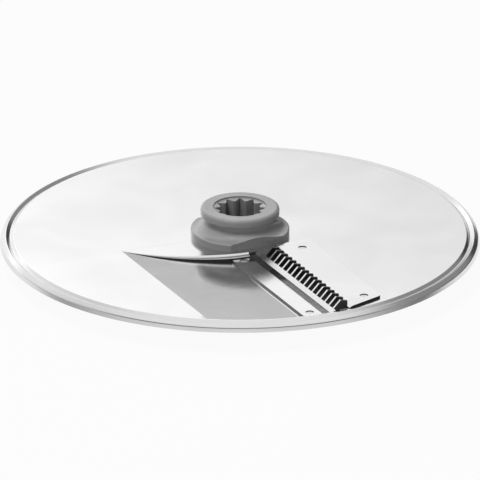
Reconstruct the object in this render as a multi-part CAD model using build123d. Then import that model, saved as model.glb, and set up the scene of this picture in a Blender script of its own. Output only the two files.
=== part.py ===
"""Food processor disc that cuts vegetables into thin strips.

The axis of the drive shaft is Z. The foot of the hub stands on Z = 0.
Heights in the profiles below are measured from the upper face of the flat sheet.
"""
from build123d import *
from math import cos, radians, sin, sqrt, tan
import os

# Steel sheet and its rolled rim, from the flat outwards
disc_diameter = 135.0
sheet = 0.8
groove_run = 0.9
groove_depth = 0.8
bead_run = 1.2
bead_drop = 0.05
brow_run = 1.2
brow_depth = 1.0
skirt_run = 0.4
skirt_depth = 2.25
rim_bend = 0.3

# Ramp pressed into the sheet in front of the blade
blade_angle = -64.2
crease_distance = 35.5
ramp_depth = 2.0
ledge_front = 9.9
ledge_back = 3.6
lip_radius = 46.0
lip_distance = 14.0
lip_shoulder = 1.4
ramp_rim_margin = 0.9
ramp_rim_shoulder = 0.4

# Window under the blade
window_back = 4.8
window_rim_margin = 0.6

# Narrow strip on the ledge
strip_thickness = 0.6
strip_width = 5.5
strip_overhang = 0.2
strip_lip_gap = 0.15
strip_rim_gap = 2.3
strip_corner = 1.5

# Blade plate, set down into the window along its front
blade_thickness = 0.65
blade_lip_overlap = 1.0
blade_back = 15.1
blade_corner = 1.5
blade_end_slant = 18.0
step_back = 4.6
step_run = 1.0
step_depth = 0.45
edge_front = 2.3
bevel_run = 1.35
edge_land = 0.1
blade_gap = 0.25

# Teeth lanced out of the plate and bent upright
tooth_count = 17
first_tooth_margin = 4.4
last_tooth_margin = 1.6
tooth_foot = 0.8
tooth_lead_run = 2.2
tooth_height = 2.2
tooth_back_height = 1.7
tooth_length = 4.3
tooth_web = 0.3
tooth_root = 0.3

# Rivets
rivet_radius = 1.2
rivet_sink = 0.2
tail_radius = 1.9
tail_height = 0.5
tail_bevel = 0.3
blade_rivet_offset = 10.7
blade_rivet_margin = 4.1
strip_rivet_margin = 1.4
rivet_rim_margin = 6.4

# Moulded hub
collar_radius = 11.1
collar_height = 2.2
collar_round = 0.9
waist_radius = 9.8
waist_straight = 0.4
flare_radius = 3.7
flange_height = 2.1
flange_round = 0.4
flange_flat_margin = 0.1
neck_radius = 10.0
neck_half_flat = 8.6
lower_flange_radius = 12.6
lower_flange_height = 2.0
boss_radius = 11.0
boss_drop = 8.0
foot_bevel = 0.5
spline_count = 12
spline_tip_radius = 5.8
spline_notch_radius = 7.5
spline_notch_half_angle = 12.0
spline_recess_radius = 7.6
spline_recess_depth = 0.45
spline_cone_drop = 0.3
lead_in_radius = 8.2
lead_in_length = 3.0

# Worked out from the sizes above
outer_radius = disc_diameter / 2
flat_radius = outer_radius - groove_run - bead_run - brow_run - skirt_run
ramp_rim_radius = flat_radius - ramp_rim_margin
window_rim_radius = flat_radius - window_rim_margin
lip_centre = lip_radius - lip_distance
strip_end_radius = ramp_rim_radius - strip_rim_gap
strip_back = ledge_back - strip_overhang
strip_top = strip_thickness - ramp_depth
front_top = blade_thickness - step_depth
blade_start = lip_distance - blade_lip_overlap
first_tooth = lip_distance + first_tooth_margin
last_tooth = window_rim_radius - last_tooth_margin
tooth_pitch = (last_tooth - first_tooth) / (tooth_count - 1)
slot_width = tooth_pitch - blade_thickness - tooth_web
blade_rivet_first = lip_distance + blade_rivet_margin
strip_rivet_first = lip_distance + strip_rivet_margin
rivet_last = flat_radius - rivet_rim_margin
flange_radius = waist_radius + flare_radius + flange_round
flange_half_flat = collar_radius + flange_flat_margin
collar_foot = flange_height + flare_radius + waist_straight
collar_top = collar_foot + collar_height
flat_height = boss_drop + sheet
reach = disc_diameter
head_room = 1.0
turn = Rot(0, 0, blade_angle)


def along_blade(outline):
    """Extrudes a profile of (across, height) points in both directions along the blade."""
    profile = make_face(Polyline(*outline, close=True))
    return extrude(Plane.YZ * profile, amount=reach, both=True)


def tall(sketch):
    """Turns a plan outline into a cutter that passes through every sheet."""
    return extrude(sketch, amount=reach, both=True)


def inside_radius(radius):
    return tall(Circle(radius))


def beyond_lip(gap):
    """Everything on the rim's side of the curved lip, which is drawn about its own centre."""
    return tall(Circle(2 * reach)) - tall(Pos(-lip_centre, 0) * Circle(lip_radius + gap))


def behind(across):
    """Everything behind a line that runs along the blade."""
    return tall(Pos(0, across) * Rectangle(2 * reach, 2 * reach, align=(Align.CENTER, Align.MIN)))


def rim_profile():
    """Half section of the sheet, from the axis to the foot of the skirt."""
    groove = flat_radius + groove_run
    bead = groove + bead_run
    brow = bead + brow_run
    top = FilletPolyline(
        (0, 0),
        (flat_radius, 0),
        (groove, -groove_depth),
        (bead, -bead_drop),
        (brow, -brow_depth),
        (outer_radius, -skirt_depth),
        radius=rim_bend,
    )
    return make_face(offset(top, amount=sheet, side=Side.RIGHT, closed=True))


def rounded_pit(radius, shoulder):
    """Half section of a round pit whose upper edge is rolled over."""
    floor = -ramp_depth - sheet
    wall = Polyline(
        (radius + shoulder, head_room),
        (0, head_room),
        (0, floor),
        (radius, floor),
        (radius, -shoulder),
    )
    roll = RadiusArc((radius, -shoulder), (radius + shoulder, 0), shoulder)
    rise = Line((radius + shoulder, 0), (radius + shoulder, head_room))
    return make_face([*wall.edges(), roll, rise])


def rounded_post(radius, shoulder):
    """Half section of a round post whose upper edge is rolled over."""
    floor = -ramp_depth - sheet
    side = Polyline(
        (radius - shoulder, 0),
        (0, 0),
        (0, floor),
        (radius, floor),
        (radius, -shoulder),
    )
    roll = RadiusArc((radius, -shoulder), (radius - shoulder, 0), -shoulder)
    return make_face([*side.edges(), roll])


def ramp_hollow():
    """The space above the ramp, between the curved lip and the rim."""
    wedge = along_blade([
        (-crease_distance, 0),
        (-ledge_front, -ramp_depth),
        (-ledge_back, -ramp_depth),
        (-ledge_back, head_room),
        (-crease_distance, head_room),
    ])
    pit = revolve(Plane.XZ * rounded_pit(ramp_rim_radius, ramp_rim_shoulder), Axis.Z)
    post = Pos(-lip_centre, 0, 0) * revolve(Plane.XZ * rounded_post(lip_radius, lip_shoulder), Axis.Z)
    post += Pos(-lip_centre, 0, 0) * extrude(Circle(lip_radius - lip_shoulder), amount=head_room)
    return (wedge & pit) - post


def ramp_shell():
    """The pressed sheet of the ramp, still filled to the level of the flat."""
    wedge = along_blade([
        (-crease_distance, 0),
        (-crease_distance, -sheet),
        (-ledge_front, -ramp_depth - sheet),
        (-ledge_back, -ramp_depth - sheet),
        (-ledge_back, 0),
    ])
    return wedge & inside_radius(ramp_rim_radius + sheet) & beyond_lip(-sheet)


def window():
    band = behind(-ledge_back) - behind(window_back)
    return band & inside_radius(window_rim_radius) & beyond_lip(0)


def neck_outline():
    """Section of the hub where it passes through the sheet, with two flats that carry the torque."""
    return Circle(neck_radius) & Rectangle(2 * neck_half_flat, 2 * neck_radius)


def rivet_places(first, across):
    return [Pos(first, across), Pos(rivet_last, across)]


blade_rivets = rivet_places(blade_rivet_first, blade_rivet_offset)
strip_rivets = rivet_places(strip_rivet_first, -strip_back - strip_width / 2)


def make_disc():
    body = revolve(Plane.XZ * rim_profile(), Axis.Z)
    body += ramp_shell()
    body -= ramp_hollow()
    body -= window()
    body -= tall(neck_outline())
    for place in blade_rivets + strip_rivets:
        body -= tall(place * Circle(rivet_radius))
    return body


def make_strip():
    outline = Pos(reach / 2, -strip_back - strip_width / 2) * Rectangle(reach, strip_width)
    strip = extrude(Pos(0, 0, -ramp_depth) * outline, amount=strip_thickness)
    strip = strip & inside_radius(strip_end_radius) & beyond_lip(strip_lip_gap)
    front_corner = strip.edges().filter_by(Axis.Z).sort_by(Axis.Y)[:2].sort_by(Axis.X)[-1]
    strip = fillet(front_corner, strip_corner)
    for place in strip_rivets:
        strip -= tall(place * Circle(rivet_radius))
    return strip


def blade_section():
    """Section of the plate: flat at the back, one step down, then a ground edge."""
    return along_blade([
        (blade_back, 0),
        (blade_back, blade_thickness),
        (step_back, blade_thickness),
        (step_back - step_run, front_top),
        (bevel_run - edge_front, front_top),
        (-edge_front, edge_land - step_depth),
        (-edge_front, -step_depth),
        (step_back - step_run, -step_depth),
        (step_back, 0),
    ])


def blade_back_outline():
    """Plan of the part that lies on the sheet, with its slanted end."""
    long_end = sqrt((window_rim_radius - blade_gap) ** 2 - step_back ** 2)
    short_end = long_end - (blade_back - step_back) * tan(radians(blade_end_slant))
    plan = make_face(Polyline(
        (blade_start, step_back),
        (long_end, step_back),
        (short_end, blade_back),
        (blade_start, blade_back),
        close=True,
    ))
    return fillet(plan.vertices().sort_by(Axis.Y)[-2:], blade_corner)


def tooth_profile():
    """Side of one tooth, with a root that sits in the plate."""
    foot = -tooth_foot
    back = foot + tooth_length
    return [
        (foot, front_top),
        (foot + tooth_lead_run, front_top + tooth_height),
        (back, front_top + tooth_back_height),
        (back, front_top - tooth_root),
        (foot, front_top - tooth_root),
    ]


def slot_outline():
    """Plan of the slot that a tooth was bent out of."""
    foot = -tooth_foot
    back = foot + tooth_length
    lead = slot_width * tooth_lead_run / tooth_height
    corners = [(0, foot), (slot_width, foot + lead), (slot_width, back), (0, back)]
    return make_face(Polyline(*corners, close=True))


def make_blade():
    section = blade_section()
    front = section & inside_radius(window_rim_radius - blade_gap) & beyond_lip(blade_gap)
    front -= behind(step_back)
    plate = front + (section & tall(blade_back_outline()))
    profile = Plane.YZ * make_face(Polyline(*tooth_profile(), close=True))
    tooth = extrude(profile, amount=-blade_thickness)
    slot = tall(slot_outline())
    places = [Pos(first_tooth + number * tooth_pitch, 0) for number in range(tooth_count)]
    plate -= [place * slot for place in places]
    plate += [place * tooth for place in places]
    for place in blade_rivets:
        plate -= tall(place * Circle(rivet_radius))
    return plate


def make_rivet(place, top, bottom):
    """A rivet that fills its hole, with a formed tail below."""
    shank = extrude(Pos(0, 0, bottom) * Circle(rivet_radius), amount=top - bottom)
    tail = extrude(Pos(0, 0, bottom) * Circle(tail_radius), amount=-tail_height)
    tail = chamfer(tail.edges().sort_by(Axis.Z)[0], tail_bevel)
    return place * (shank + tail)


def make_rivets():
    blade_set = [make_rivet(place, blade_thickness - rivet_sink, -sheet) for place in blade_rivets]
    strip_set = [make_rivet(place, strip_top - rivet_sink, -ramp_depth - sheet) for place in strip_rivets]
    return blade_set + strip_set


def hub_profile():
    """Half section of the hub above the sheet: flange, flared waist and collar."""
    ledge_radius = flange_radius - flange_round
    flare_top = flange_height + flare_radius
    wall_top = flange_height - flange_round
    wall = Polyline((0, collar_top), (0, 0), (flange_radius, 0), (flange_radius, wall_top))
    roll = RadiusArc((flange_radius, wall_top), (ledge_radius, flange_height), -flange_round)
    flare = RadiusArc((ledge_radius, flange_height), (waist_radius, flare_top), flare_radius)
    collar = Polyline(
        (waist_radius, flare_top),
        (waist_radius, collar_foot),
        (collar_radius, collar_foot),
        (collar_radius, collar_top - collar_round),
    )
    crown = RadiusArc(
        (collar_radius, collar_top - collar_round),
        (collar_radius - collar_round, collar_top),
        -collar_round,
    )
    lid = Line((collar_radius - collar_round, collar_top), (0, collar_top))
    return make_face([*wall.edges(), roll, flare, *collar.edges(), crown, lid])


def spline_outline():
    """Star of pointed notches between narrow teeth."""
    pitch = 360 / spline_count
    points = []
    for number in range(spline_count):
        middle = number * pitch
        for radius, angle in (
            (spline_tip_radius, middle - spline_notch_half_angle),
            (spline_notch_radius, middle),
            (spline_tip_radius, middle + spline_notch_half_angle),
        ):
            points.append((radius * cos(radians(angle)), radius * sin(radians(angle))))
    return make_face(Polyline(*points, close=True))


def spline_countersink():
    """Shallow cone that slopes the tops of the spline's teeth, standing on its point below Z = 0."""
    depth = spline_cone_drop * spline_recess_radius / (spline_recess_radius - spline_tip_radius)
    from_base = (Align.CENTER, Align.CENTER, Align.MIN)
    return Rot(180, 0, 0) * Cone(spline_recess_radius, 0, depth, align=from_base)


def flange_flats():
    """The two cheeks that are cut from the flange, across the direction of the blade."""
    cheek = Box(reach, reach, reach, align=(Align.MIN, Align.CENTER, Align.MIN))
    return [Pos(flange_half_flat, 0, 0) * cheek, Rot(0, 0, 180) * Pos(flange_half_flat, 0, 0) * cheek]


def make_hub():
    lower = -sheet - lower_flange_height
    hub = revolve(Plane.XZ * hub_profile(), Axis.Z)
    hub -= flange_flats()
    hub += extrude(Pos(0, 0, -sheet) * neck_outline(), amount=sheet)
    hub += extrude(Pos(0, 0, lower) * Circle(lower_flange_radius), amount=lower_flange_height)
    hub += extrude(Pos(0, 0, -flat_height) * Circle(boss_radius), amount=flat_height + lower)
    foot_edge = hub.edges().filter_by(GeomType.CIRCLE).sort_by(Axis.Z)[0]
    hub = chamfer(foot_edge, foot_bevel)
    hub -= Rot(0, 0, -blade_angle) * tall(spline_outline())
    hub -= extrude(Pos(0, 0, collar_top) * Circle(spline_recess_radius), amount=-spline_recess_depth)
    hub -= Pos(0, 0, collar_top - spline_recess_depth) * spline_countersink()
    hub -= extrude(Pos(0, 0, -flat_height) * Circle(lead_in_radius), amount=lead_in_length)
    return hub


def seated(solid):
    """Turns a piece so that the blade points at its angle, and lifts it onto the foot of the hub."""
    return Pos(0, 0, flat_height) * turn * solid


pieces = {
    "disc": make_disc(),
    "hub": make_hub(),
    "julienne_blade": make_blade(),
    "ledge_strip": make_strip(),
    "rivets": Compound(children=make_rivets()),
}
os.makedirs("parts", exist_ok=True)
for name, solid in pieces.items():
    export_step(seated(solid), f"parts/{name}.step")
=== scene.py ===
# %% [markdown]
# A shredding disc from a food processor: a pressed sheet of bright steel with a rolled rim, a splined
# plastic hub, a toothed blade and a narrow strip that faces its edge, all held by four rivets.
# The CAD part already fixes every size. This lesson dresses it in Blender: each piece is rebuilt with
# finer, smoother faces from the same few sizes, and then gets a finish of its own.

import bmesh
import bpy
from math import atan2, cos, degrees, hypot, pi, radians, sin, sqrt, tan
from mathutils import Matrix, Vector


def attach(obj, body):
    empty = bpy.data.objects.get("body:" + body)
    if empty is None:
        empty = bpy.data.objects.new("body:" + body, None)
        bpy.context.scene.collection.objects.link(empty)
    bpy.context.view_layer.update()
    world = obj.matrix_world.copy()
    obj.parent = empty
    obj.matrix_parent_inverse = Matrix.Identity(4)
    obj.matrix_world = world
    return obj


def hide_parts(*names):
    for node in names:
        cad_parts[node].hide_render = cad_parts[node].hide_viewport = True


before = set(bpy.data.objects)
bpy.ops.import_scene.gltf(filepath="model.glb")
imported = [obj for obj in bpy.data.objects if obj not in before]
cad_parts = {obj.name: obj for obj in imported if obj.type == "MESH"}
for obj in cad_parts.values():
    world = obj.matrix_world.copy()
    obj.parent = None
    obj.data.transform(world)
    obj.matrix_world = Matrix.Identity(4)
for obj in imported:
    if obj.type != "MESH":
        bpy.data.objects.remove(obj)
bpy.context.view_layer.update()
scene = bpy.context.scene
scene.view_settings.view_transform = "Standard"
mm = 0.001
print("CAD nodes:", ", ".join(sorted(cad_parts)))

# %% [markdown]
# The photograph looks down at about 22 degrees with almost no perspective, so the camera is a long lens
# from several metres away. A long lens keeps the far and the near rim the same size, as they are there.
# The distance is worked out from the width of the view, so the lens can change without losing the frame.

# %% Camera
view_elevation = radians(22.2)
view_width = 134.9 * mm
view_centre = Vector((0.01, -4.6, 8.8)) * mm
long_lens = 1500.0
sensor = 36.0
camera_distance = view_width * long_lens / sensor

camera_data = bpy.data.cameras.new("long_lens")
camera_data.lens = long_lens
camera_data.sensor_width = sensor
camera_data.clip_start = 0.01
camera = bpy.data.objects.new("camera", camera_data)
scene.collection.objects.link(camera)
to_camera = Vector((0, -cos(view_elevation), sin(view_elevation)))
camera.location = view_centre + camera_distance * to_camera
camera.rotation_euler = (pi / 2 - view_elevation, 0, 0)
scene.camera = camera
print("camera stands", round(camera_distance, 3), "m from the disc")

# %% [markdown]
# Four steels and one plastic cover the whole disc. Rolled sheet keeps faint lines along the direction
# in which the mill drew it, and use leaves soft smudges and fine scratches on every metal.
# Both effects serve several materials, so each is built once as a shader group with named inputs and
# placed in a material with its own values. The groups read Object coordinates, so nothing slides.

# %% A kit for node trees


def new_tree(name, kind, inputs, outputs):
    """A node tree with named sockets, and its two end nodes."""
    tree = bpy.data.node_groups.new(name, kind)
    for label, socket in inputs:
        tree.interface.new_socket(label, in_out="INPUT", socket_type="NodeSocket" + socket)
    for label, socket in outputs:
        tree.interface.new_socket(label, in_out="OUTPUT", socket_type="NodeSocket" + socket)
    return tree, tree.nodes.new("NodeGroupInput"), tree.nodes.new("NodeGroupOutput")


def feed(tree, socket, value):
    """Links an input to another node's socket, or sets it to a plain value."""
    if isinstance(value, bpy.types.NodeSocket):
        tree.links.new(value, socket)
    else:
        socket.default_value = value


def add(tree, kind, settings=None, **inputs):
    """A node whose inputs are values, or sockets to link from."""
    node = tree.nodes.new(kind)
    for key, value in (settings or {}).items():
        setattr(node, key, value)
    for key, value in inputs.items():
        feed(tree, node.inputs[key.replace("_", " ")], value)
    return node


def maths(tree, operation, *values):
    """The result of a math node, with its inputs fed in order."""
    node = add(tree, "ShaderNodeMath", {"operation": operation})
    for socket, value in zip(node.inputs, values):
        feed(tree, socket, value)
    return node.outputs[0]


def mixed(tree, kind, share, first, second):
    """Passes from a first value or colour to a second one with a share."""
    mix = add(tree, "ShaderNodeMix", {"data_type": kind}, Factor=share, A=first, B=second)
    return mix.outputs["Result"]


def spread(tree, value, low, high, start=0.0, end=1.0):
    """Maps a value from one range onto another."""
    node = add(tree, "ShaderNodeMapRange", Value=value, From_Min=start, From_Max=end,
               To_Min=low, To_Max=high)
    return node.outputs["Result"]


def grey(level):
    """A grey as a colour with full cover."""
    return (level, level, level, 1)


print("node helpers: new_tree, feed, add, maths, mixed, spread, grey")

# %% Mill lines and handling marks
line_stretch = (0.02, 1.0, 1.0)
mill_lines, ends, out = new_tree(
    "mill_lines", "ShaderNodeTree",
    [("Vector", "Vector"), ("Direction", "Float"), ("Lines per metre", "Float")],
    [("Lines", "Float")],
)
turned_round = add(mill_lines, "ShaderNodeVectorRotate", {"rotation_type": "Z_AXIS"},
                   Vector=ends.outputs["Vector"], Angle=ends.outputs["Direction"])
stretched = add(mill_lines, "ShaderNodeVectorMath", {"operation": "MULTIPLY"})
feed(mill_lines, stretched.inputs[0], turned_round.outputs["Vector"])
feed(mill_lines, stretched.inputs[1], line_stretch)
lines = add(mill_lines, "ShaderNodeTexNoise", Vector=stretched.outputs[0],
            Scale=ends.outputs["Lines per metre"], Detail=4.0, Roughness=0.6)
feed(mill_lines, out.inputs["Lines"], lines.outputs[0])

marks, ends, out = new_tree(
    "handling_marks", "ShaderNodeTree",
    [("Vector", "Vector"), ("Smudge size", "Float"), ("Scratch size", "Float")],
    [("Smudge", "Float"), ("Scratch", "Float")],
)
smudge = add(marks, "ShaderNodeTexNoise", Vector=ends.outputs["Vector"], Scale=ends.outputs["Smudge size"],
             Detail=3.0, Distortion=0.6)
feed(marks, out.inputs["Smudge"], spread(marks, smudge.outputs[0], 0.0, 1.0, 0.38, 0.72))
cells = add(marks, "ShaderNodeTexVoronoi", {"feature": "DISTANCE_TO_EDGE"}, Vector=ends.outputs["Vector"],
            Scale=ends.outputs["Scratch size"])
scratch_line = spread(marks, cells.outputs["Distance"], 1.0, 0.0, 0.0, 0.012)
patches = add(marks, "ShaderNodeTexNoise", Vector=ends.outputs["Vector"], Scale=ends.outputs["Scratch size"])
patch_mask = spread(marks, patches.outputs[0], 0.0, 1.0, 0.52, 0.7)
feed(marks, out.inputs["Scratch"], maths(marks, "MULTIPLY", scratch_line, patch_mask))
print("shader groups:", mill_lines.name, marks.name)

# %% [markdown]
# Every steel here is bright and bare, so Metallic stays at one and the colour is a plain pale grey.
# What tells the pieces apart is how sharp they mirror: the pressed sheet is smooth, the blade is ground
# across its edge, and the rivet ends are dull from the press. So each steel gets its own roughness
# range, direction and line spacing. Upright faces, where the press cut or wiped the metal, are rough,
# and they carry a painted shade: their colour is a dark grey that stands in for the shade and the dark
# mirror images on them. A mask finds them by the direction in which they face.

# %% Steel finishes
smudge_size = 45.0
scratch_size = 260.0
noise_low, noise_high = 0.3, 0.7
torn_roughness = 0.55
relief_depth = 0.02 * mm


def principled(name):
    """A new material with its tree and its one shader."""
    material = bpy.data.materials.new(name)
    material.use_nodes = True
    tree = material.node_tree
    return material, tree, tree.nodes["Principled BSDF"]


def painted_shade_on_upright_faces(tree, steepest):
    """A mask for the painted shade on upright faces: one where the normal lies flat, zero where it rises past a
    limit.
    """
    facing = add(tree, "ShaderNodeSeparateXYZ", Vector=add(tree, "ShaderNodeTexCoord").outputs["Normal"])
    upward = maths(tree, "ABSOLUTE", facing.outputs["Z"])
    return spread(tree, upward, 1.0, 0.0, 0.6 * steepest, steepest)


def steel(name, greys, roughness, direction, line_spacing, relief, upright_shade_grey, steepest):
    """Bare steel whose lines and marks change its grey, its sharpness and its relief a little; its upright
    faces get a painted shade.
    """
    material, tree, shader = principled(name)
    smooth, dull = roughness
    shader.inputs["Metallic"].default_value = 1.0
    place = add(tree, "ShaderNodeTexCoord").outputs["Object"]
    grain = add(tree, "ShaderNodeGroup", {"node_tree": mill_lines}, Vector=place, Direction=direction,
                Lines_per_metre=line_spacing).outputs["Lines"]
    used = add(tree, "ShaderNodeGroup", {"node_tree": marks}, Vector=place, Smudge_size=smudge_size,
               Scratch_size=scratch_size)
    # cut is the mask for the painted shade: upright faces take a dark grey and a rougher finish
    cut = painted_shade_on_upright_faces(tree, steepest)
    tone = spread(tree, grain, 0.0, 1.0, noise_low, noise_high)
    colour = mixed(tree, "RGBA", tone, grey(greys[0]), grey(greys[1]))
    # painted shade: upright faces get the dark upright_shade_grey in place of the steel's pale grey
    feed(tree, shader.inputs["Base Color"], mixed(tree, "RGBA", cut, colour, grey(upright_shade_grey)))
    grain_blur = spread(tree, grain, smooth, (smooth + dull) / 2, noise_low, noise_high)
    blur = maths(tree, "MULTIPLY_ADD", used.outputs["Smudge"], (dull - smooth) / 2, grain_blur)
    feed(tree, shader.inputs["Roughness"], mixed(tree, "FLOAT", cut, blur, torn_roughness))
    height = maths(tree, "SUBTRACT", grain, used.outputs["Scratch"])
    bump = add(tree, "ShaderNodeBump", Strength=relief, Distance=relief_depth, Height=height)
    feed(tree, shader.inputs["Normal"], bump.outputs["Normal"])
    return material


blade_angle = radians(-64.2)
along_edge = -blade_angle
across_blade = along_edge + pi / 2
# upright_shade_grey is each steel's painted shade on its upright faces
disc_steel = steel("disc_steel", (0.74, 0.80), (0.15, 0.23), direction=0.0, line_spacing=3000.0,
                   relief=0.05, upright_shade_grey=0.06, steepest=0.27)
blade_steel = steel("blade_steel", (0.76, 0.84), (0.15, 0.24), direction=across_blade, line_spacing=5200.0,
                    relief=0.08, upright_shade_grey=0.05, steepest=0.5)
strip_steel = steel("strip_steel", (0.76, 0.84), (0.15, 0.23), direction=along_edge, line_spacing=4200.0,
                    relief=0.08, upright_shade_grey=0.25, steepest=0.5)
rivet_steel = steel("rivet_steel", (0.74, 0.80), (0.22, 0.34), direction=0.6, line_spacing=3600.0,
                    relief=0.10, upright_shade_grey=0.4, steepest=0.3)
print("steels:", disc_steel.name, blade_steel.name, strip_steel.name, rivet_steel.name)

# %% [markdown]
# The hub is a mid grey engineering plastic. A spark-eroded mould leaves it finely textured, so it looks
# satin: the flat top is even, while round edges still draw a soft bright line. Noise at two sizes
# gives that skin, as a slight change of grey, of gloss and of relief.

# %% Hub plastic
hub_plastic, tree, shader = principled("hub_plastic")
place = add(tree, "ShaderNodeTexCoord").outputs["Object"]
skin = add(tree, "ShaderNodeTexNoise", Vector=place, Scale=5200.0, Detail=2.0).outputs[0]
flow = add(tree, "ShaderNodeTexNoise", Vector=place, Scale=120.0, Detail=3.0).outputs[0]
used = add(tree, "ShaderNodeGroup", {"node_tree": marks}, Vector=place, Smudge_size=90.0, Scratch_size=420.0)
tone = spread(tree, flow, 0.0, 1.0, noise_low, noise_high)
colour = mixed(tree, "RGBA", tone, (0.20, 0.20, 0.202, 1), (0.235, 0.235, 0.237, 1))
feed(tree, shader.inputs["Base Color"], colour)
feed(tree, shader.inputs["Roughness"], spread(tree, used.outputs["Smudge"], 0.24, 0.32))
shader.inputs["Coat Weight"].default_value = 0.5
shader.inputs["Coat Roughness"].default_value = 0.22
bump = add(tree, "ShaderNodeBump", Strength=0.12, Distance=relief_depth, Height=skin)
feed(tree, shader.inputs["Normal"], bump.outputs["Normal"])
print("plastic:", hub_plastic.name)

# %% [markdown]
# Every piece starts from a flat outline: a half section that is turned about the shaft's axis, or a
# profile that is pushed along the blade. The helpers below keep those outlines short. They round the
# corners of a line with arcs, move a line sideways by a sheet's thickness, and make closed meshes.
# Heights are measured from the upper face of the flat sheet, and x runs along the blade, as a
# toolmaker would lay out the drawing. The last step turns each piece to its place.

# %% Outline helpers
arc_step = radians(12)


def arc(centre, radius, start, end):
    """Points of an arc, angles in radians, both ends included."""
    steps = max(2, round(abs(end - start) / arc_step))
    angles = [start + (end - start) * i / steps for i in range(steps + 1)]
    return [(centre[0] + radius * cos(a), centre[1] + radius * sin(a)) for a in angles]


def rounded(points, radii):
    """An open line whose inner corners are replaced by tangent arcs of the given radii."""
    line = [points[0]]
    for before, corner, after, radius in zip(points, points[1:], points[2:], radii):
        into = (Vector(corner) - Vector(before)).normalized()
        out = (Vector(after) - Vector(corner)).normalized()
        turn = into.angle_signed(out)
        reach = radius * tan(abs(turn) / 2)
        side = -1 if turn > 0 else 1
        first = Vector(corner) - into * reach
        normal = Vector((-into.y, into.x)) * side
        centre = first + normal * radius
        start = atan2(*reversed(first - centre))
        line += arc(centre, radius, start, start - turn)
    return line + [points[-1]]


def moved_aside(points, distance):
    """The line at a constant distance to the right of an open line, with mitred corners."""
    line = []
    for i, corner in enumerate(points):
        here = Vector(corner)
        into = (here - Vector(points[i - 1])).normalized() if i else None
        out = (Vector(points[i + 1]) - here).normalized() if i + 1 < len(points) else into
        into = into or out
        normal = (Vector((into.y, -into.x)) + Vector((out.y, -out.x))).normalized()
        line.append(tuple(here + normal * distance / normal.dot(Vector((into.y, -into.x)))))
    return line


print("arcs are drawn in steps of", round(degrees(arc_step)), "degrees")

# %% Mesh helpers
turn_steps = 240
same_place = 1e-4


def linked(name, bm):
    """Puts a mesh into the scene as an object."""
    mesh = bpy.data.meshes.new(name)
    bm.to_mesh(mesh)
    bm.free()
    piece = bpy.data.objects.new(name, mesh)
    scene.collection.objects.link(piece)
    return piece


def closed_piece(name, bm):
    """Merges doubles, points the faces outwards and links the mesh as an object."""
    bmesh.ops.remove_doubles(bm, verts=bm.verts, dist=same_place)
    bmesh.ops.dissolve_degenerate(bm, edges=bm.edges, dist=same_place)
    bmesh.ops.recalc_face_normals(bm, faces=bm.faces)
    return linked(name, bm)


def turned(name, section, steps=turn_steps, centre=(0, 0)):
    """Spins a closed half section of (radius, height) points about an upright axis."""
    bm = bmesh.new()
    corners = [bm.verts.new((r, 0, z)) for r, z in section]
    on_axis = section[0][0] == section[-1][0] == 0
    following = corners[1:] if on_axis else corners[1:] + corners[:1]
    edges = [bm.edges.new(pair) for pair in zip(corners, following)]
    bmesh.ops.spin(bm, geom=edges, axis=(0, 0, 1), cent=(0, 0, 0), angle=2 * pi, steps=steps,
                   use_merge=True)
    bmesh.ops.translate(bm, verts=bm.verts, vec=(*centre, 0))
    return closed_piece(name, bm)


def pushed(name, outline, direction, place):
    """Pushes a closed outline along a direction; place puts an outline point into space."""
    bm = bmesh.new()
    face = bm.faces.new([bm.verts.new(place(*point)) for point in outline])
    made = bmesh.ops.extrude_face_region(bm, geom=[face])
    new = [v for v in made["geom"] if isinstance(v, bmesh.types.BMVert)]
    bmesh.ops.translate(bm, verts=new, vec=direction)
    return closed_piece(name, bm)


def plan_block(name, outline, bottom, top):
    """A block whose plan is the outline."""
    return pushed(name, outline, (0, 0, top - bottom), lambda x, y: (x, y, bottom))


def along_blade(name, profile, start, end):
    """A bar whose section of (across, height) points runs along the blade."""
    return pushed(name, profile, (end - start, 0, 0), lambda y, z: (start, y, z))


print("a full turn has", turn_steps, "steps")

# %% Helpers that join and measure


def make_plain(piece):
    """Keeps what the modifiers made as a plain mesh."""
    graph = bpy.context.evaluated_depsgraph_get()
    mesh = bpy.data.meshes.new_from_object(piece.evaluated_get(graph))
    piece.modifiers.clear()
    piece.data = mesh
    return piece


def combine(piece, operation, *tools):
    """Cuts, joins or crosses a piece with other solids, which are used up."""
    for tool in tools:
        step = piece.modifiers.new("combine", "BOOLEAN")
        step.solver = "EXACT"
        step.operation = operation
        step.object = tool
        make_plain(piece)
        bpy.data.objects.remove(tool)
    return piece


def volume(piece):
    """A line of text with a piece's volume, faces and open edges."""
    bm = bmesh.new()
    bm.from_mesh(piece.data)
    amount = bm.calc_volume()
    loose = sum(1 for edge in bm.edges if len(edge.link_faces) != 2)
    bm.free()
    return f"{piece.name}: {amount:.1f} mm3, {len(piece.data.polygons)} faces, {loose} open edges"


print("solids are joined, cut and crossed exactly")

# %% [markdown]
# The big piece is one disc of sheet steel. On the real object a press draws it between two dies: the
# rim is rolled into a groove, a bead and a short skirt, and a ramp is pushed down in front of the blade.
# It could be drawn as one grid of faces, but the ramp's curved lip would never follow the grid.
# So the sheet is turned from its section first, the ramp's pan is added, and its hollow is cut out.

# %% Turn the sheet with its rolled rim
sheet = 0.8
outer_radius = 67.5
flat_radius = 63.8
flat_height = 8.8
rim_corners = [(0, 0), (flat_radius, 0), (64.7, -0.8), (65.9, -0.05), (67.1, -1.0), (outer_radius, -2.25)]
bend = 0.3
brow_bend = 0.8
inside_bend = 0.15

upper = rounded(rim_corners, [bend, bend, bend, brow_bend])
lower = rounded(moved_aside(rim_corners, sheet), [inside_bend, bend + sheet, inside_bend, inside_bend])
disc = turned("pressed_disc", upper + lower[::-1])
print(volume(disc))

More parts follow.
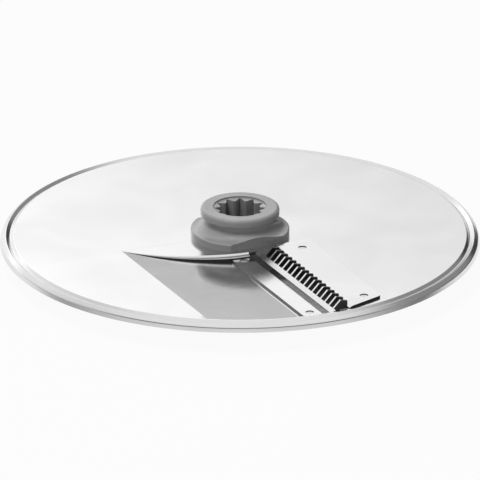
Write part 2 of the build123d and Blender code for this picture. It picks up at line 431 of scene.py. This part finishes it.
# %% [markdown]
# The ramp is a wedge between a straight crease, the rim and a lip that curves round the hub. The lip's
# upper edge is rolled over generously, because food slides across it. That roll narrows as the ramp
# gets shallow, and both end in one sharp tip. A pit and a post with rolled edges, both turned, give the
# hollow its two round sides.

# %% Sizes and cutters of the ramp
crease = -35.5
ramp_depth = 2.0
ledge_front = -9.9
ledge_back = -3.6
ramp_rim = 62.9
rim_shoulder = 0.4
lip_radius = 46.0
lip_centre = -32.0
lip_shoulder = 1.4
least_depth = 0.1
head_room = 1.0
span = 2 * outer_radius
floor_level = -ramp_depth - sheet
slope = ramp_depth / (ledge_front - crease)
run_in = 4.0
pan_run_in = 1.0


def round_block(name, radius, centre=(0, 0), steps=turn_steps):
    """A tall round block that passes through every sheet."""
    return turned(name, [(0, -span), (radius, -span), (radius, span), (0, span)], steps, centre)


def square_block(name, left, right, front, back, bottom, top):
    """A block with a rectangular plan."""
    return plan_block(name, [(left, front), (right, front), (right, back), (left, back)], bottom, top)


def narrow_roll(post):
    """Shrinks the roll on the lip with the depth of the ramp, so that both run out together."""
    for vertex in post.data.vertices:
        x, y, z = vertex.co.x - lip_centre, vertex.co.y, vertex.co.z
        reach = hypot(x, y)
        if reach < lip_radius / 2 or z < -lip_shoulder - sheet:
            continue
        depth = min(max(slope * (lip_radius * y / reach - crease), least_depth), ramp_depth)
        share = depth / ramp_depth
        closer = (lip_radius - (lip_radius - reach) * share) / reach
        vertex.co = (lip_centre + x * closer, y * closer, z if z > 0 else z * share)


print("the ramp falls", ramp_depth, "mm over", round(ledge_front - crease, 1), "mm")

# %% Press the ramp
pan = along_blade("pan", [
    (crease - pan_run_in, slope * pan_run_in - sheet),
    (ledge_front, floor_level),
    (ledge_back, floor_level),
    (ledge_back, -sheet / 2),
    (crease - pan_run_in, -sheet / 2),
], -span, span)
combine(pan, "INTERSECT", round_block("rim_side", ramp_rim + sheet))
combine(pan, "DIFFERENCE", round_block("lip_side", lip_radius - sheet, (lip_centre, 0)))
combine(disc, "UNION", pan)

hollow = along_blade("hollow", [
    (crease - run_in, slope * run_in),
    (ledge_front, -ramp_depth),
    (ledge_back, -ramp_depth),
    (ledge_back, head_room),
    (crease - run_in, head_room),
], -span, span)
rim_roll = arc((ramp_rim + rim_shoulder, -rim_shoulder), rim_shoulder, pi, pi / 2)
lip_roll = arc((lip_radius - lip_shoulder, -lip_shoulder), lip_shoulder, 0, pi / 2)
core_line = [(0, head_room), (0, floor_level)]
pit = core_line + [(ramp_rim, floor_level), *rim_roll, (ramp_rim + rim_shoulder, head_room)]
post = core_line + [(lip_radius, floor_level), *lip_roll, (lip_radius - lip_shoulder, head_room)]
combine(hollow, "INTERSECT", turned("pit", pit))
lip_post = turned("post", post, centre=(lip_centre, 0))
narrow_roll(lip_post)
combine(hollow, "DIFFERENCE", lip_post)
combine(disc, "DIFFERENCE", hollow)
print(volume(disc))

# %% [markdown]
# A window lies under the blade, so that the cut strips can fall through. The hub's neck and the four
# rivets have holes of their own. All of them are punched, so they are cut straight through.

# %% Punch the window and the holes
window_back = 4.8
window_rim = 63.2
neck_radius = 10.0
neck_half_flat = 8.6
rivet_radius = 1.2
rivet_steps = 32
blade_rivets = [(18.1, 10.7), (57.4, 10.7)]
strip_rivets = [(15.4, -6.15), (57.4, -6.15)]


def punch(piece, places):
    """Cuts rivet holes straight through a piece."""
    for place in places:
        combine(piece, "DIFFERENCE", round_block("hole", rivet_radius, place, rivet_steps))


window = square_block("window", 0, span, ledge_back, window_back, -span, span)
combine(window, "INTERSECT", round_block("window_end", window_rim))
combine(window, "DIFFERENCE", round_block("window_lip", lip_radius, (lip_centre, 0)))
neck = round_block("neck", neck_radius)
flats = square_block("neck_flats", -neck_half_flat, neck_half_flat, -span, span, -2 * span, 2 * span)
combine(neck, "INTERSECT", flats)
combine(disc, "DIFFERENCE", window, neck)
punch(disc, blade_rivets + strip_rivets)
print(volume(disc))

# %% [markdown]
# Pieces are drawn in millimetres about the blade's own axes. Seating a piece turns it to the blade's
# angle, lifts it onto the hub's foot and puts that place into the mesh, so that the object itself stays
# at the origin. Flat faces meet small bends here, and plain smooth shading would smear the bend across
# the flat. Weighted normals let the larger face decide, which keeps a mirror flat.

# %% Seat a piece and smooth it
crisp_angle = radians(32)
shallow_fold = radians(2)
broad_face = 1.0
seat = Matrix.Rotation(blade_angle, 4, "Z") @ Matrix.Translation((0, 0, flat_height))
seat = Matrix.Scale(mm, 4) @ seat


def mark_crisp_edges(mesh):
    """Smooths a mesh but keeps steep edges crisp, and shallow folds between two broad faces too."""
    bm = bmesh.new()
    bm.from_mesh(mesh)
    for face in bm.faces:
        face.smooth = True
    for edge in bm.edges:
        fold = edge.calc_face_angle(0)
        broad = min(face.calc_area() for face in edge.link_faces) > broad_face
        edge.smooth = not (fold > crisp_angle or (broad and fold > shallow_fold))
    bm.to_mesh(mesh)
    bm.free()


def seat_piece(piece, name, node):
    """Smooths a finished piece, moves it to its place and lets it stand for its CAD node."""
    piece.name = name
    piece.data.name = name
    mark_crisp_edges(piece.data)
    weights = piece.modifiers.new("weighted", "WEIGHTED_NORMAL")
    weights.keep_sharp = True
    piece.data.transform(seat)
    make_plain(piece)
    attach(piece, "root")
    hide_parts(node)
    size = [round(v / mm, 1) for v in piece.dimensions]
    print(name, "spans", size, "mm with", len(piece.data.polygons), "faces")


def give(piece, material):
    """Covers a piece with one material."""
    piece.data.materials.clear()
    piece.data.materials.append(material)


give(disc, disc_steel)
seat_piece(disc, "pressed_disc", "disc")

# %% [markdown]
# The teeth are the clever part of this disc. A press lances seventeen flaps out of the blade plate and
# bends each one upright, so a slot is left beside every tooth. Each tooth slits the food, and the long
# edge in front then shaves the slit layer off as thin sticks. The same tooth and the same slot repeat
# at one pitch, which is work for Geometry Nodes: one row of points carries both.

# %% Helpers for trees that repeat a shape


def copies_on(tree, points, shape, **more):
    """Copies of an object's shape on points."""
    info = add(tree, "GeometryNodeObjectInfo", Object=shape)
    copies = add(tree, "GeometryNodeInstanceOnPoints", Points=points, Instance=info.outputs["Geometry"], **more)
    return copies.outputs["Instances"]


def finish_tree(tree, geometry, finish, outlet):
    """Ends a tree: makes its copies real and gives them their material."""
    real = add(tree, "GeometryNodeRealizeInstances", Geometry=geometry)
    coat = add(tree, "GeometryNodeSetMaterial", Geometry=real.outputs["Geometry"], Material=finish)
    tree.links.new(coat.outputs["Geometry"], outlet)
    print("tree", tree.name, "has", len(tree.nodes), "nodes")


def run_tree(piece, tree, **values):
    """Runs a tree on a piece as a modifier, with inputs set by identifier, and keeps the mesh."""
    step = piece.modifiers.new(tree.name, "NODES")
    step.node_group = tree
    for item in tree.interface.items_tree:
        if item.in_out == "INPUT" and item.name in values:
            step[item.identifier] = values[item.name]
    make_plain(piece)


print("tree helpers: copies_on, finish_tree, run_tree")

# %% The tree for a row of bent teeth
teeth_tree, ends, out = new_tree(
    "row_of_bent_teeth", "GeometryNodeTree",
    [("Plate", "Geometry"), ("Tooth", "Object"), ("Slot", "Object"), ("Count", "Int"),
     ("First", "Float"), ("Pitch", "Float"), ("Finish", "Material")],
    [("Plate", "Geometry")],
)
start = add(teeth_tree, "ShaderNodeCombineXYZ", X=ends.outputs["First"])
stride = add(teeth_tree, "ShaderNodeCombineXYZ", X=ends.outputs["Pitch"])
row = add(teeth_tree, "GeometryNodeMeshLine", {"mode": "OFFSET"}, Count=ends.outputs["Count"],
          Start_Location=start.outputs[0], Offset=stride.outputs[0])
plate = ends.outputs["Plate"]
for label, operation, inlet in (("Slot", "DIFFERENCE", "Mesh 1"), ("Tooth", "UNION", "Mesh 2")):
    copies = copies_on(teeth_tree, row.outputs["Mesh"], ends.outputs[label])
    real = add(teeth_tree, "GeometryNodeRealizeInstances", Geometry=copies)
    merge = add(teeth_tree, "GeometryNodeMeshBoolean", {"operation": operation, "solver": "EXACT"})
    teeth_tree.links.new(plate, merge.inputs[inlet])
    teeth_tree.links.new(real.outputs["Geometry"], merge.inputs["Mesh 2"])
    plate = merge.outputs["Mesh"]
finish_tree(teeth_tree, plate, ends.outputs["Finish"], out.inputs["Plate"])

# %% The blade plate
blade_thickness = 0.65
step_depth = 0.45
front_top = blade_thickness - step_depth
blade_back = 15.1
blade_start = 13.0
step_back = 4.6
step_front = 3.6
step_bend = 0.35
edge = -2.3
bevel_back = -0.95
edge_land = 0.1
blade_rim = 62.95
blade_lip = 46.25
corner_round = 1.5
end_slant = tan(radians(18))

top_line = rounded(
    [(blade_back, blade_thickness), (step_back, blade_thickness), (step_front, front_top),
     (bevel_back, front_top), (edge, edge_land - step_depth)],
    [step_bend, step_bend, step_bend],
)
under_line = rounded(
    [(edge, -step_depth), (step_front, -step_depth), (step_back, 0), (blade_back, 0)],
    [step_bend, step_bend],
)
blade = along_blade("blade", top_line + under_line, 0, span)

long_end = sqrt(blade_rim ** 2 - step_back ** 2)
short_end = long_end - (blade_back - step_back) * end_slant
lip_angle = atan2(step_back, sqrt(blade_lip ** 2 - step_back ** 2))
rim_angle = atan2(step_back, long_end)
back_corners = [(blade_start, step_back), (blade_start, blade_back), (short_end, blade_back),
                (long_end, step_back)]
blade_plan = (
    rounded(back_corners, [corner_round, corner_round])
    + arc((0, 0), blade_rim, rim_angle, -rim_angle)[1:]
    + arc((lip_centre, 0), blade_lip, -lip_angle, lip_angle)
)
combine(blade, "INTERSECT", plan_block("blade_plan", blade_plan, -span, span))
punch(blade, blade_rivets)
print(volume(blade))

# %% One tooth, one slot, and the row
tooth_count = 17
tooth_pitch = 2.7
first_tooth = 18.4
tooth_foot = -0.8
tooth_back = 3.5
tooth_apex = 1.4
tooth_height = 2.2
tooth_back_height = 1.7
tooth_root = 0.3
slot_width = 1.75

tooth = along_blade("tooth", [
    (tooth_foot, front_top),
    (tooth_apex, front_top + tooth_height),
    (tooth_back, front_top + tooth_back_height),
    (tooth_back, front_top - tooth_root),
    (tooth_foot, front_top - tooth_root),
], 0, -blade_thickness)
slot = plan_block("slot", [(0, tooth_foot), (slot_width, tooth_foot + slot_width),
                           (slot_width, tooth_back), (0, tooth_back)], -span, span)
run_tree(blade, teeth_tree, Tooth=tooth, Slot=slot, Count=tooth_count, First=first_tooth,
         Pitch=tooth_pitch, Finish=blade_steel)
bpy.data.objects.remove(tooth)
bpy.data.objects.remove(slot)
print(volume(blade))
seat_piece(blade, "toothed_blade", "julienne_blade")

# %% [markdown]
# A narrow strip of the same thin steel lies on the ledge in front of the blade. It sets the height of
# the throat, and so the thickness of the sticks. It is a plain blanked strip with one round corner and
# square cut edges, so its plan is drawn once and given its thickness.

# %% The strip on the ledge
strip_front = -8.9
strip_back = -3.4
strip_lip = 46.15
strip_rim = 60.6
strip_top = -1.4
sharp_corner = 0.2


def point_on(radius, across, centre=0.0):
    """The point of a circle about the blade's axis that lies at a distance across it."""
    return (centre + sqrt(radius ** 2 - across ** 2), across)


strip_plan = rounded(
    [point_on(strip_lip, strip_back, lip_centre), point_on(strip_lip, strip_front, lip_centre),
     point_on(strip_rim, strip_front), point_on(strip_rim, strip_back)],
    [sharp_corner, corner_round],
)
strip = plan_block("strip", strip_plan, -ramp_depth, strip_top)
punch(strip, strip_rivets)
print(volume(strip))
give(strip, strip_steel)
seat_piece(strip, "ledge_strip_plate", "ledge_strip")

# %% [markdown]
# Four rivets hold the blade and the strip. Each fills its hole, ends a little below the plate and is
# spread into a wider tail underneath. One rivet is turned for each pair, and a tree places its copies.

# %% The tree for a pair of rivets
rivet_tree, ends, out = new_tree(
    "rivets_in_a_line", "GeometryNodeTree",
    [("Holder", "Geometry"), ("Rivet", "Object"), ("Count", "Int"), ("First", "Vector"),
     ("Stride", "Vector"), ("Finish", "Material")],
    [("Rivets", "Geometry")],
)
row = add(rivet_tree, "GeometryNodeMeshLine", {"mode": "OFFSET"}, Count=ends.outputs["Count"],
          Start_Location=ends.outputs["First"], Offset=ends.outputs["Stride"])
copies = copies_on(rivet_tree, row.outputs["Mesh"], ends.outputs["Rivet"])
both = add(rivet_tree, "GeometryNodeJoinGeometry")
for socket in (ends.outputs["Holder"], copies):
    rivet_tree.links.new(socket, both.inputs["Geometry"])
finish_tree(rivet_tree, both.outputs["Geometry"], ends.outputs["Finish"], out.inputs["Rivets"])

# %% Set the rivets
rivet_sink = 0.2
rivet_edge = 0.12
tail_radius = 1.9
tail_height = 0.5
tail_bevel = 0.3

rivets = bpy.data.objects.new("rivets", bpy.data.meshes.new("rivets"))
scene.collection.objects.link(rivets)
blade_pair = (blade_rivets, blade_thickness, -sheet)
strip_pair = (strip_rivets, strip_top, floor_level)
for places, surface, under in (blade_pair, strip_pair):
    head = surface - rivet_sink
    tail = under - tail_height
    rivet = turned("rivet", [
        (0, head),
        (rivet_radius - rivet_edge, head),
        (rivet_radius, head - rivet_edge),
        (rivet_radius, under),
        (tail_radius, under),
        (tail_radius, tail + tail_bevel),
        (tail_radius - tail_bevel, tail),
        (0, tail),
    ], rivet_steps)
    spacing = places[1][0] - places[0][0]
    run_tree(rivets, rivet_tree, Rivet=rivet, Count=len(places), First=(*places[0], 0),
             Stride=(spacing, 0, 0), Finish=rivet_steel)
    bpy.data.objects.remove(rivet)
print(volume(rivets))
seat_piece(rivets, "set_rivets", "rivets")

# %% [markdown]
# The hub is moulded round the middle of the sheet. Its upper part is turned: a collar to grip, a flared
# waist and a flange with two flats. A star of pointed notches takes the drive shaft. All the notches
# are alike, so a tree turns one cutter round the axis and cuts the whole star at once.

# %% Turn the hub
collar_radius = 11.1
collar_top = 8.4
collar_foot = 6.2
collar_round = 0.9
waist_radius = 9.8
flare_radius = 3.7
flange_radius = 13.9
flange_height = 2.1
flange_round = 0.4
flange_half_flat = 11.2
lower_radius = 12.6
lower_foot = -2.8
boss_radius = 11.0
foot_bevel = 0.5
lead_in_radius = 8.2
lead_in_top = -5.8
flare_top = flange_height + flare_radius

hub_section = [
    (0, collar_top),
    *arc((collar_radius - collar_round, collar_top - collar_round), collar_round, pi / 2, 0),
    (collar_radius, collar_foot),
    (waist_radius, collar_foot),
    *arc((waist_radius + flare_radius, flare_top), flare_radius, pi, 1.5 * pi),
    *arc((flange_radius - flange_round, flange_height - flange_round), flange_round, pi / 2, 0),
    (flange_radius, 0),
    (neck_radius, 0),
    (neck_radius, -sheet),
    (lower_radius, -sheet),
    (lower_radius, lower_foot),
    (boss_radius, lower_foot),
    (boss_radius, foot_bevel - flat_height),
    (boss_radius - foot_bevel, -flat_height),
    (lead_in_radius, -flat_height),
    (lead_in_radius, lead_in_top),
    (0, lead_in_top),
]
hub = turned("hub", hub_section)
flange_cut = (flange_half_flat, 0, flange_height + head_room)
neck_cut = (neck_half_flat, -sheet, 0)
for half_flat, bottom, top in (flange_cut, neck_cut):
    for side in (-1, 1):
        cheek = square_block("cheek", side * half_flat, side * span, -span, span, bottom, top)
        combine(hub, "DIFFERENCE", cheek)
print(volume(hub))

# %% The tree for the star of notches
star_tree, ends, out = new_tree(
    "star_of_notches", "GeometryNodeTree",
    [("Hub", "Geometry"), ("Notch", "Object"), ("Core", "Object"), ("Count", "Int"), ("Finish", "Material")],
    [("Hub", "Geometry")],
)
points = add(star_tree, "GeometryNodePoints", Count=ends.outputs["Count"])
number = add(star_tree, "GeometryNodeInputIndex")
share = maths(star_tree, "DIVIDE", number.outputs[0], ends.outputs["Count"])
spin = add(star_tree, "ShaderNodeCombineXYZ", Z=maths(star_tree, "MULTIPLY_ADD", share, 2 * pi, -blade_angle))
copies = copies_on(star_tree, points.outputs[0], ends.outputs["Notch"], Rotation=spin.outputs[0])
core_shape = add(star_tree, "GeometryNodeObjectInfo", Object=ends.outputs["Core"])
both = add(star_tree, "GeometryNodeJoinGeometry")
for socket in (copies, core_shape.outputs["Geometry"]):
    star_tree.links.new(socket, both.inputs["Geometry"])
real = add(star_tree, "GeometryNodeRealizeInstances", Geometry=both.outputs["Geometry"])
cut = add(star_tree, "GeometryNodeMeshBoolean", {"operation": "DIFFERENCE", "solver": "EXACT"},
          Self_Intersection=True)
star_tree.links.new(ends.outputs["Hub"], cut.inputs["Mesh 1"])
star_tree.links.new(real.outputs["Geometry"], cut.inputs["Mesh 2"])
finish_tree(star_tree, cut.outputs["Mesh"], ends.outputs["Finish"], out.inputs["Hub"])

# %% Cut the star
notch_count = 12
tip_radius = 5.8
notch_radius = 7.5
notch_half_angle = radians(12)
core_steps = 72
recess_radius = 7.6
recess_floor = 7.95
cone_drop = 0.3
cone_point = recess_floor - cone_drop * recess_radius / (recess_radius - tip_radius)

tip_x = tip_radius * cos(notch_half_angle)
tip_y = tip_radius * sin(notch_half_angle)
notch_plan = [(0, -tip_y / 2), (tip_x, -tip_y), (notch_radius, 0), (tip_x, tip_y), (0, tip_y / 2)]
notch = plan_block("notch", notch_plan, -span, span)
core = round_block("core", tip_radius, steps=core_steps)
run_tree(hub, star_tree, Notch=notch, Core=core, Count=notch_count, Finish=hub_plastic)
bpy.data.objects.remove(notch)
bpy.data.objects.remove(core)
mouth = [(0, cone_point), (recess_radius, recess_floor), (recess_radius, span), (0, span)]
combine(hub, "DIFFERENCE", turned("mouth", mouth))
print(volume(hub))
give(hub, hub_plastic)
seat_piece(hub, "splined_hub", "hub")

# %% [markdown]
# Bright steel shows the room more than itself, so the light is the last part of the finish. The
# photograph was taken in a white tent. Its back wall is brightest on the left, fades to the right and
# is dim close to the table, and the side with the camera has a dim gap. A wall with a soft change of
# grey stands behind the disc, where the flat steel mirrors it, and the world gives the rest of the tent
# at a plain level. The floor glows plain white to the camera and the mirror, and only the part under
# the disc keeps its shade. There the floor's own grey is darker than white paper: a painted shade that
# deepens it.

# %% Floor
floor_radius = 12.0
# painted shade: the floor's grey is darker than white paper and deepens the shade under the disc, where no glow
# covers it
floor_grey = 0.4
floor_glow = 0.94
shade_radius = 44 * mm
glow_radius = 52 * mm
floor_bm = bmesh.new()
bmesh.ops.create_circle(floor_bm, cap_ends=True, segments=96, radius=floor_radius)
floor = linked("floor", floor_bm)

floor_paper, tree, shader = principled("floor_paper")
shader.inputs["Base Color"].default_value = grey(floor_grey)
shader.inputs["Roughness"].default_value = 0.9
shader.inputs["Specular IOR Level"].default_value = 0.0
away = add(tree, "ShaderNodeVectorMath", {"operation": "LENGTH"})
feed(tree, away.inputs[0], add(tree, "ShaderNodeTexCoord").outputs["Object"])
open_floor = spread(tree, away.outputs["Value"], 0.0, floor_glow, shade_radius, glow_radius)
path = add(tree, "ShaderNodeLightPath")
seen = path.outputs["Is Camera Ray"]
for other in ("Is Glossy Ray", "Is Transmission Ray"):
    seen = maths(tree, "MAXIMUM", seen, path.outputs[other])
glow = add(tree, "ShaderNodeEmission", Color=grey(1), Strength=1.0)
both = add(tree, "ShaderNodeMixShader", Fac=maths(tree, "MULTIPLY", seen, open_floor))
feed(tree, both.inputs[1], shader.outputs[0])
feed(tree, both.inputs[2], glow.outputs[0])
feed(tree, tree.nodes["Material Output"].inputs["Surface"], both.outputs[0])
give(floor, floor_paper)
print("floor of", 2 * floor_radius, "m")

# %% Grey that follows a measure


def grey_curve(tree, value, stops):
    """Grey against a measure, as a ramp through stops of (measure, grey)."""
    low, high = stops[0][0], stops[-1][0]
    brightest = max(level for measure, level in stops)
    ramp = add(tree, "ShaderNodeValToRGB", Fac=spread(tree, value, 0.0, 1.0, low, high))
    points = ramp.color_ramp.elements
    while len(points) < len(stops):
        points.new(0.5)
    for point, (measure, level) in zip(points, stops):
        point.position = (measure - low) / (high - low)
        point.color = grey(level / brightest)
    return maths(tree, "MULTIPLY", ramp.outputs["Color"], brightest)


print("light follows curves through a few stops")

# %% Back wall of the tent
wall_distance = 1.6
wall_half_width = 2.4
wall_height = 2.4
roof_level = 0.95
wall_bm = bmesh.new()
corners = [(-wall_half_width, 0), (wall_half_width, 0), (wall_half_width, wall_height),
           (-wall_half_width, wall_height)]
wall_bm.faces.new([wall_bm.verts.new((x, wall_distance, z)) for x, z in corners])
wall = linked("tent_wall", wall_bm)
wall.visible_camera = False

tent_cloth, tree, shader = principled("tent_cloth")
tree.nodes.remove(shader)
place = add(tree, "ShaderNodeSeparateXYZ", Vector=add(tree, "ShaderNodeTexCoord").outputs["Object"])
aside, above = place.outputs["X"], place.outputs["Z"]
high_part = grey_curve(tree, aside, [
    (-2.4, 1.1), (-0.8, 1.5), (-0.3, 1.82), (0.0, 1.29), (0.3, 0.86), (0.55, 0.5), (0.8, 0.28), (2.4, 0.28)])
upper_part = grey_curve(tree, aside, [(-2.4, roof_level), (0.3, roof_level), (0.8, 0.3), (2.4, 0.28)])
low_part = grey_curve(tree, aside, [(-2.4, 1.0), (-0.5, 1.1), (0.0, 0.26), (0.4, 0.03), (2.4, 0.03)])
raised = grey_curve(tree, above, [
    (0.0, 0.0), (0.51, 0.0), (0.555, 0.08), (0.60, 0.96), (0.64, 1.0), (2.4, 1.0)])
wall_light = mixed(tree, "FLOAT", raised, low_part, high_part)
wall_light = mixed(tree, "FLOAT", spread(tree, above, 0.0, 1.0, 0.8, 1.1), wall_light, upper_part)
cloth = add(tree, "ShaderNodeEmission", Strength=wall_light)
feed(tree, tree.nodes["Material Output"].inputs["Surface"], cloth.outputs[0])
give(wall, tent_cloth)
print("tent wall stands", wall_distance, "m behind the disc")

# %% World
world = bpy.data.worlds.new("tent")
scene.world = world
world.use_nodes = True
tree = world.node_tree
background = tree.nodes["Background"]
axes = add(tree, "ShaderNodeSeparateXYZ", Vector=add(tree, "ShaderNodeTexCoord").outputs["Generated"])
rise = maths(tree, "ARCSINE", axes.outputs["Z"])
heading = maths(tree, "ARCTAN2", axes.outputs["X"], axes.outputs["Y"])
elevation = spread(tree, rise, -90.0, 90.0, -pi / 2, pi / 2)
azimuth = spread(tree, heading, -180.0, 180.0, -pi, pi)

tent_foot = grey_curve(tree, azimuth, [
    (-180, 1.1), (-130, 0.8), (-90, 0.35), (-50, 0.8), (-20, 1.1), (20, 0.05), (90, 0.15), (130, 0.8),
    (180, 1.1)])
tent_side = grey_curve(tree, azimuth, [
    (-180, 0.25), (-125, 0.25), (-95, 0.6), (-40, 1.0), (0, 0.95), (30, 0.28), (70, 0.28), (95, 0.4),
    (125, 0.25), (180, 0.25)])
tent = tent_foot
for layer, start, end in ((tent_side, 13, 19), (roof_level, 48, 62)):
    tent = mixed(tree, "FLOAT", spread(tree, elevation, 0.0, 1.0, start, end), tent, layer)
feed(tree, background.inputs["Strength"], tent)
background.inputs["Color"].default_value = grey(1)
print("world made of", len(tree.nodes), "nodes")

# %% [markdown]
# One soft lamp above the camera's left shoulder draws the form of the hub, as its bright ledge and its
# dark sides show. It is kept out of the steel's mirror, where it would burn white spots.

# %% Soft lamp
lamp_data = bpy.data.lights.new("soft_lamp", "AREA")
lamp_data.shape = "DISK"
lamp_data.size = 0.5
lamp_data.energy = 13.0
lamp = bpy.data.objects.new("soft_lamp", lamp_data)
scene.collection.objects.link(lamp)
lamp_place = Vector((-0.35, -0.35, 1.2))
lamp.location = lamp_place
lamp.rotation_euler = lamp_place.to_track_quat("Z", "Y").to_euler()
lamp.visible_glossy = False
lamp.visible_camera = False
print("lamp stands", round(lamp_place.length, 2), "m away")
